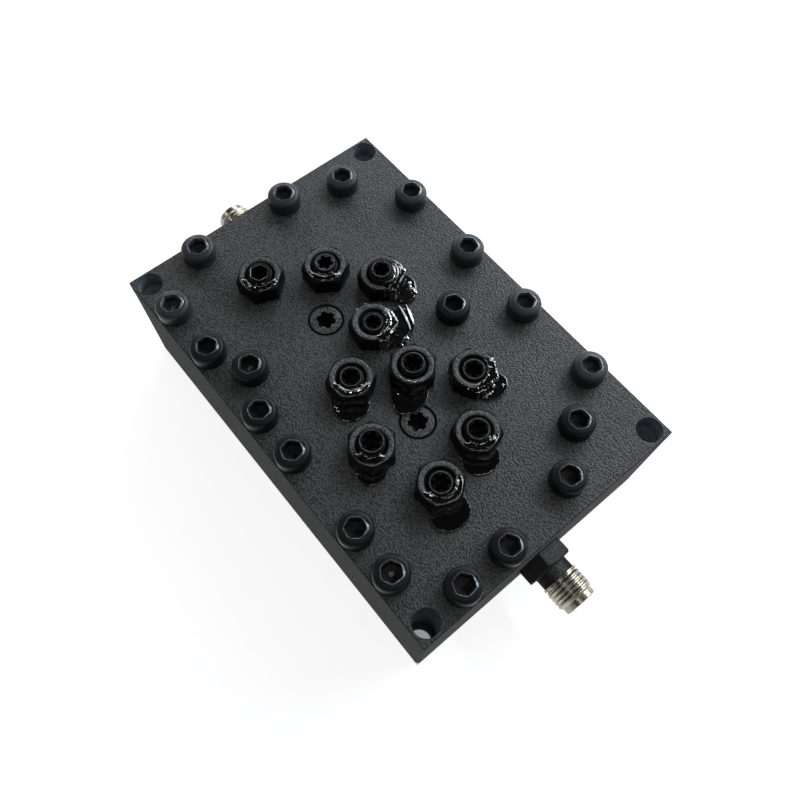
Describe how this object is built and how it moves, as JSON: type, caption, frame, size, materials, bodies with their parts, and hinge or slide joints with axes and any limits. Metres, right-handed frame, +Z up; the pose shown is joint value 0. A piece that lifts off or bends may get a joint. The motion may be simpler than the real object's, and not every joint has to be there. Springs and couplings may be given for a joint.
{
  "type": "rf bandpass filter",
  "caption": "Coaxial-cavity bandpass filter: black milled block, screwed cover with locked adjusting screws, and a threaded coaxial jack on each end face.",
  "frame": {"origin": "centre of the housing's base face, midway between the two nose ends", "axes": "+X along the block's length towards the near jack, +Y across its width, +Z up from the base to the cover"},
  "size_m": [0.0942, 0.05, 0.0266],
  "materials": {
    "painted_aluminium": "black sand-textured paint over milled aluminium, bare inside",
    "black_oxide_steel": "black oxide, oiled",
    "lacquered_steel": "black oxide under clear-black sealing lacquer",
    "nickel_brass": "nickel plate, painted black on the hexagon and neck",
    "ptfe": "turned white fluoropolymer",
    "gold_contact": "gold plate over beryllium copper",
    "silver_wire": "silver-plated copper wire"
  },
  "bodies": {
    "root": {"housing": "painted_aluminium", "cover": "painted_aluminium", "cover_screws": "black_oxide_steel", "flush_screws": "black_oxide_steel", "tuning_screw_1": "lacquered_steel", "tuning_screw_2": "lacquered_steel", "tuning_screw_3": "lacquered_steel", "tuning_screw_4": "lacquered_steel", "tuning_screw_5": "lacquered_steel", "coupling_screw_12": "lacquered_steel", "coupling_screw_23": "lacquered_steel", "coupling_screw_34": "lacquered_steel", "coupling_screw_45": "lacquered_steel", "cross_screw_35": "lacquered_steel", "lock_nut_1": "lacquered_steel", "lock_nut_2": "lacquered_steel", "lock_nut_3": "lacquered_steel", "lock_nut_4": "lacquered_steel", "lock_nut_5": "lacquered_steel", "lock_nut_12": "lacquered_steel", "lock_nut_23": "lacquered_steel", "lock_nut_34": "lacquered_steel", "lock_nut_45": "lacquered_steel", "lock_nut_35": "lacquered_steel", "jack_shell_near": "nickel_brass", "jack_shell_far": "nickel_brass", "dielectric_near": "ptfe", "dielectric_far": "ptfe", "contact_near": "gold_contact", "contact_far": "gold_contact", "tap_wire_near": "silver_wire", "tap_wire_far": "silver_wire"}
  },
  "joints": []
}
